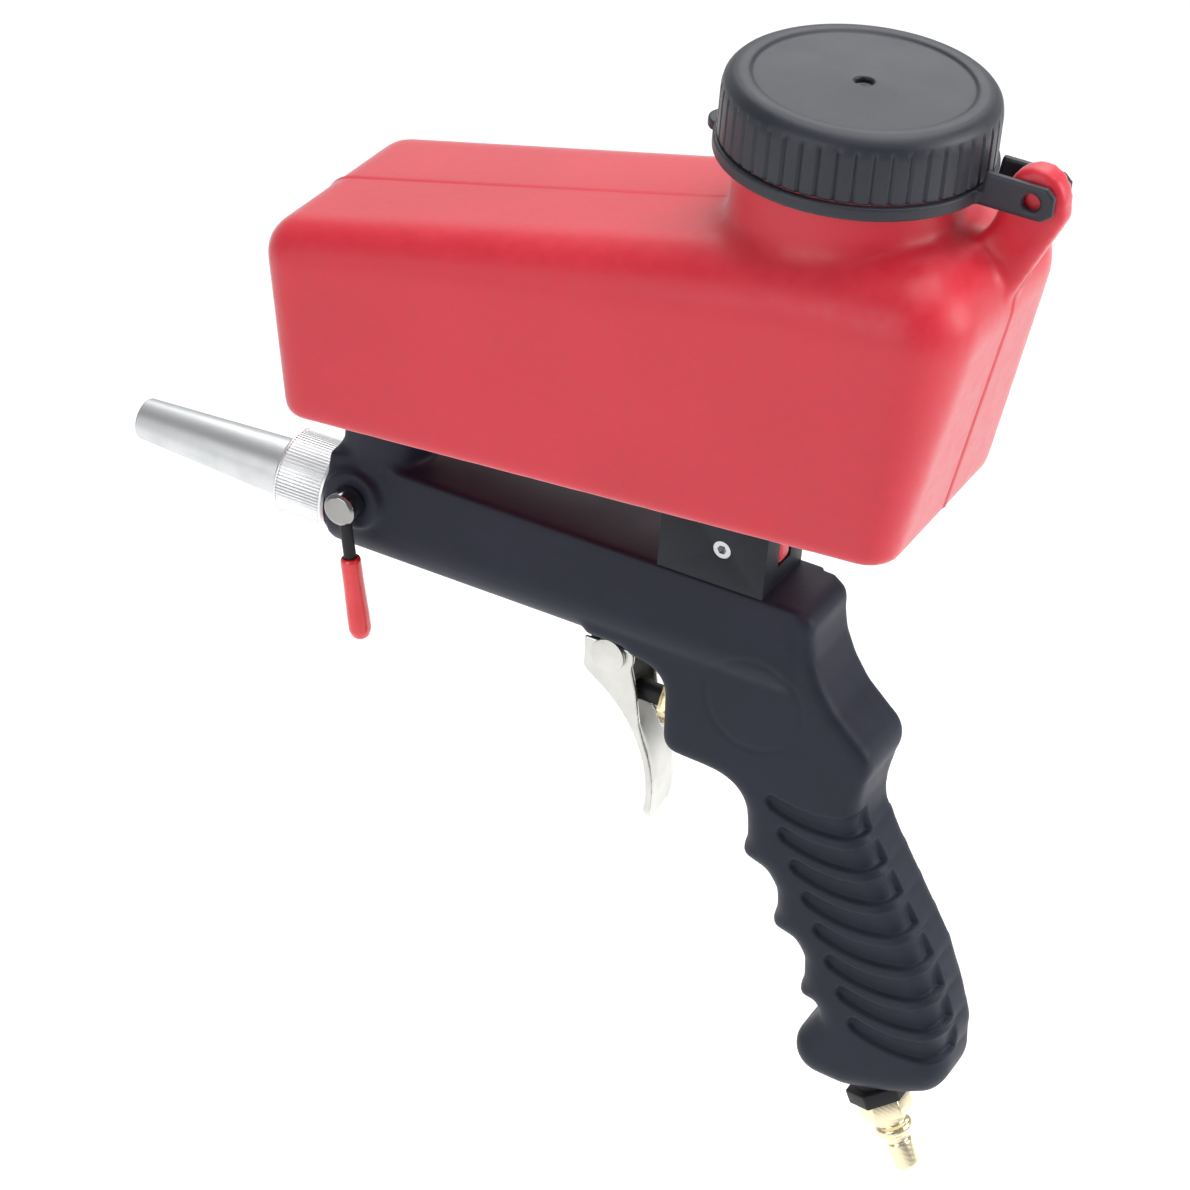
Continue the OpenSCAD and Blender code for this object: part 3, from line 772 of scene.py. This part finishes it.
# %% Lever rod and sleeve
LEAN = math.radians(11)
down = Vector((math.sin(LEAN), 0, -math.cos(LEAN)))
lever_top = at(FEED_X, -21, SPOOL_Z)
rod = turned("lever_rod_black", [(1.8, 0), (1.8, 1.9), (40, 1.9), (40, 0)], lever_top, down, 0.3, 32)
stands_for(rod, "lever_rod", BLACK_STEEL)
SLEEVE_PROFILE = [
    (17, 1.92), (17, 2.8), (17.9, 3.15), (26, 3.2), (37, 3.5), (41.4, 3.5), (43.6, 2.7),
    (44.65, 1.2), (44.7, 0), (40.1, 0), (40.1, 1.92)
]
sleeve = turned("lever_sleeve_dipped", SLEEVE_PROFILE, lever_top, down, 0.7, 48)
stands_for(sleeve, "lever_sleeve", SLEEVE_RED)

# %% [markdown]
# ## Air plug
# The plug that takes the hose's coupler is brass: a hexagon with chamfered corners, a waist, a lock
# ridge and a nose. The round part is spun. The hexagon is a six-sided cylinder, bevelled, and the
# spun part runs through it.

# %% Air plug and bushing
inlet_top = at(203, 0, -141)
PLUG_PROFILE = [
    (-6, 2.6), (-6, 4.75), (7.2, 4.75), (7.2, 6.4), (8, 7.0), (13, 7.0), (13.7, 6.3), (14, 4.6),
    (16.8, 4.4), (17.6, 5.7), (18.4, 5.95), (19.6, 5.95), (20.6, 5.0), (21.2, 3.5), (23.4, 3.4),
    (24, 3.95), (32.2, 3.95), (33, 3.4), (33, 2.6)
]
plug = turned("air_plug_brass", PLUG_PROFILE, inlet_top, inlet, 0.5, 72)


def hexagon(name, flats, start, end, bevel):
    middle = inlet_top + inlet * ((start + end) / 2 * MM)
    let_go()
    bpy.ops.mesh.primitive_cylinder_add(vertices=6, radius=flats / 2 / math.cos(math.pi / 6) * MM,
                                        depth=(end - start) * MM, location=middle,
                                        rotation=(0, math.pi - INLET_LEAN, 0))
    piece = name_and_place(name)
    apply_modifier(piece, "BEVEL", width=bevel * MM, segments=3, limit_method="ANGLE")
    return piece


def joined(first, *others):
    pick(first)
    for other in others:
        other.select_set(True)
    bpy.ops.object.join()
    return first


plug = smooth_by_angle(joined(plug, hexagon("plug_hexagon", 14.3, 7, 13.5, 0.45)), 30)
stands_for(plug, "air_plug", BRASS)
BUSHING_PROFILE = [
    (-9, 4.8), (-9, 6.5), (2.4, 6.5), (2.4, 8.6), (6.6, 8.6), (7, 8.0), (7, 4.8)
]
bushing = turned("inlet_bushing_black", BUSHING_PROFILE, inlet_top, inlet, 0.3, 64)
bushing = smooth_by_angle(joined(bushing, hexagon("bushing_hexagon", 17.9, 2.1, 6.9, 0.5)), 30)
stands_for(bushing, "inlet_bushing", BLACK_STEEL)

# %% [markdown]
# ## Cap
# The screw cap is a cup with a sunk disc, a round shoulder and ribs for grip. It is spun in six
# steps for each rib, and one line in six is pulled in, which leaves broad ribs with narrow grooves,
# as the mould's cutter does.

# %% Ribbed screw cap
RIBS, CAP_Z, RIB_DEPTH = 48, 162.9, 0.6
CAP_PROFILE = [
    (0, 34.4), (0, 37.3), (0.6, 37.9), (13.4, 37.9), (16.2, 37.3), (18.1, 35.6), (19.1, 33.0),
    (18.9, 30.8), (18.0, 29.7), (18.0, 2.6), (16.0, 2.6), (16.0, 34.4)
]
cap = turned("screw_cap_ribbed", CAP_PROFILE, at(NECK_X, 0, CAP_Z), (0, 0, 1), 1.0, RIBS * 6)
mm = off_barrel(points_of(cap)) - np.array((NECK_X, 0, CAP_Z))
out = np.hypot(mm[:, 0], mm[:, 1])
turn = np.degrees(np.arctan2(mm[:, 1], mm[:, 0]))
phase = np.round((turn - turn[0]) * RIBS * 6 / 360).astype(int) % 6
fade = np.clip((15.6 - mm[:, 2]) / 1.6, 0, 1)
cut = (phase == 0) & (mm[:, 2] > -0.2) & (out > 36.5)
mm[cut, :2] *= (1 - RIB_DEPTH * fade[cut] / out[cut])[:, None]
move_points(cap, (mm + np.array((NECK_X, 0, CAP_Z))) * MM + np.array(barrel))
smooth_by_angle(cap, 32)
stands_for(cap, "screw_cap", CAP_PLASTIC)

# %% [markdown]
# ## Small castings and stampings
# The strap ring, mount block, trigger and pins keep their CAD shapes, but a real edge is never
# sharp. A copy has its flat triangles joined, its edges bevelled and its faces shaded by angle.

# %% Ease the edges of CAD copies
def eased(node, name, width, finish, angle=32):
    piece = copy_of_node(node, name)
    bpy.ops.object.mode_set(mode="EDIT")
    bpy.ops.mesh.select_all(action="SELECT")
    bpy.ops.mesh.dissolve_limited(angle_limit=math.radians(0.6))
    bpy.ops.object.mode_set(mode="OBJECT")
    apply_modifier(piece, "BEVEL", width=width * MM, segments=2, limit_method="ANGLE",
                   angle_limit=math.radians(30))
    smooth_by_angle(piece, angle)
    return stands_for(piece, node, finish)


eased("mount_block", "mount_block_cut", 0.6, BLOCK_PAINT)
eased("packing_nut", "packing_nut_brass", 0.3, SEAT_BRASS)
eased("trigger_pin", "trigger_pin_headed", 0.5, TRIGGER_PLATE)

# %% [markdown]
# The trigger is a pressing and the strap ring a moulding, and both have soft edges all over, so
# their copies get a fine even skin and a few rounds of relaxing.

# %% Soften the trigger and the strap ring
def softened(node, name, voxel, rounds, finish):
    piece = copy_of_node(node, name)
    apply_modifier(piece, "REMESH", mode="VOXEL", voxel_size=voxel * MM)
    relax(piece, rounds)
    smooth_all(piece)
    return stands_for(piece, node, finish)


softened("trigger", "trigger_pressed", 0.4, 4, TRIGGER_PLATE)
softened("cap_ring", "cap_ring_strap", 0.5, 3, CAP_PLASTIC)

# %% [markdown]
# The trigger valve's spring is hidden in the grip. A real one is a wire helix, so a curve runs round
# it once for each coil, gets the wire's thickness and becomes a mesh.

# %% Valve spring
low_corner, high_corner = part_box("valve_spring")
coils, wire = 6, 0.5 * MM
coil_radius = (high_corner.z - low_corner.z) / 2 - 0.55 * MM
spring_curve = bpy.data.curves.new("valve_spring_helix", "CURVE")
spring_curve.dimensions = "3D"
spring_curve.bevel_depth = wire
line = spring_curve.splines.new("POLY")
line.points.add(coils * 24)
for i, point in enumerate(line.points):
    share = i / (coils * 24)
    turn = share * coils * 2 * math.pi
    px = low_corner.x + wire + share * (high_corner.x - low_corner.x - 2 * wire)
    middle_z = (low_corner.z + high_corner.z) / 2
    point.co = (px, coil_radius * math.cos(turn), middle_z + coil_radius * math.sin(turn), 1)
let_go()
spring = bpy.data.objects.new("valve_spring_helix", spring_curve)
bpy.context.scene.collection.objects.link(spring)
pick(spring)
bpy.ops.object.convert(target="MESH")
spring = bpy.context.object
smooth_by_angle(spring, 60)
stands_for(spring, "valve_spring", STEEL)
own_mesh(spring)

# %% [markdown]
# ## CAD nodes that stay
# Everything else keeps its CAD shape: seals, the jet, clips, seats and screws. Each gets the
# finish that its slot in the record names.

# %% Finishes for the nodes that stay
FINISH_OF_SLOT = {"rubber": RUBBER, "steel": STEEL, "brass": SEAT_BRASS, "black_steel": BLACK_STEEL,
                  "liner": FOAM, "aluminium": TURNED_ALUMINIUM,
                  "chrome": CHROME, "black_plastic": CAP_PLASTIC,
                  "gun_paint": GUN_PAINT, "red_plastic": HOPPER_RED, "block_metal": BLOCK_PAINT,
                  "red_vinyl": SLEEVE_RED}
for row in frame["record"]["subparts"]:
    node = frame["nodes"][row["node"]]
    if not node.hide_render:
        node.data.materials.clear()
        node.data.materials.append(FINISH_OF_SLOT[row["material_slot"]])
        print("kept", node.name)

# %% [markdown]
# ## Studio
# The gun is shown in a white studio. The floor is pale and lies well below the gun, a broad soft
# light hangs over it, one behind skims the hopper's top, a weaker one fills from the front and the
# last lights the hopper's rear.

# %% Floor
def studio_floor():
    material, shader, place = surface("studio_floor", specular_ior_level=0.1)
    clouds = band(noise(place, 3.0), 0.3, 0.7)
    shader.inputs["Emission Strength"].default_value = 0.22
    white = mixed(clouds, (0.93, 0.93, 0.93, 1), (0.95, 0.95, 0.95, 1))
    connect(shader, base_color=white, emission_color=white, roughness=0.8 + 0.1 * clouds)
    return material


FLOOR_DROP = 0.30
let_go()
bpy.ops.mesh.primitive_plane_add(size=14, location=(0, 0, cad_box[0][2] - FLOOR_DROP))
floor = name_and_place("studio_floor")
floor.data.materials.append(studio_floor())


# %% Lights
def soft_light(name, place, target, size, watts, colour=(1, 1, 1)):
    let_go()
    bpy.ops.object.light_add(type="AREA", location=place)
    light = bpy.context.object
    light.name = name
    light.data.shape = "SQUARE"
    light.data.size = size
    light.data.energy = watts
    light.data.color = colour
    light.visible_camera = False
    light.rotation_euler = (Vector(target) - Vector(place)).to_track_quat("-Z", "Y").to_euler()
    return light


soft_light("key_overhead", (0.1, 0.1, 1.5), (0, 0, 0.1), 1.2, 11)
soft_light("back_high", (-0.5, 1.1, 1.5), (0, 0, 0.1), 1.4, 16)
soft_light("fill_front", (-0.5, -1.6, 0.55), (0, 0, 0.1), 1.2, 9)
soft_light("fill_rear", (1.6, 0.5, 0.75), (0, 0, 0.1), 1.2, 20)

# %% [markdown]
# Bright metal shows what stands round it. The studio's surroundings are white behind the gun and
# greyer in front, so the sky colour is a ramp along Y, from the front to the back.

# %% Surroundings
world = bpy.context.scene.world or bpy.data.worlds.new("studio")
bpy.context.scene.world = world
world.use_nodes = True
background = world.node_tree.nodes["Background"]
sky = Field(world.node_tree)
way = sky.node("ShaderNodeTexCoord", {}, {}, "Generated")
shade = band(along(way, 1), -1.0, 0.6)
sky_colour = mixed(shade, (0.46, 0.47, 0.49, 1), (0.8, 0.8, 0.8, 1))
world.node_tree.links.new(sky_colour.link, background.inputs["Color"])
background.inputs["Strength"].default_value = 0.55
bpy.context.scene.view_settings.view_transform = "Standard"

# %% [markdown]
# The camera stands on the lever's side, a little behind and above, more than a metre away, with
# a long lens and a slight tilt. Its right, up and back directions are the columns of its matrix.

# %% Camera
right, up, back = (0.8788, 0.4714, 0.0746), (-0.3118, 0.4485, 0.8376), (0.3614, -0.7594, 0.5411)
back = Vector(back).normalized()
right = (Vector(right) - back * back.dot(Vector(right))).normalized()
up = back.cross(right)
camera_data = bpy.data.cameras.new("studio_camera")
camera_data.sensor_width = 36
camera_data.lens = 116.81
camera_data.dof.use_dof = False
camera = bpy.data.objects.new("studio_camera", camera_data)
bpy.context.scene.collection.objects.link(camera)
turned_frame = Matrix((right, up, back)).transposed().to_4x4()
camera.matrix_world = Matrix.Translation((0.3204, -0.8728, 0.7035)) @ turned_frame
bpy.context.scene.camera = camera
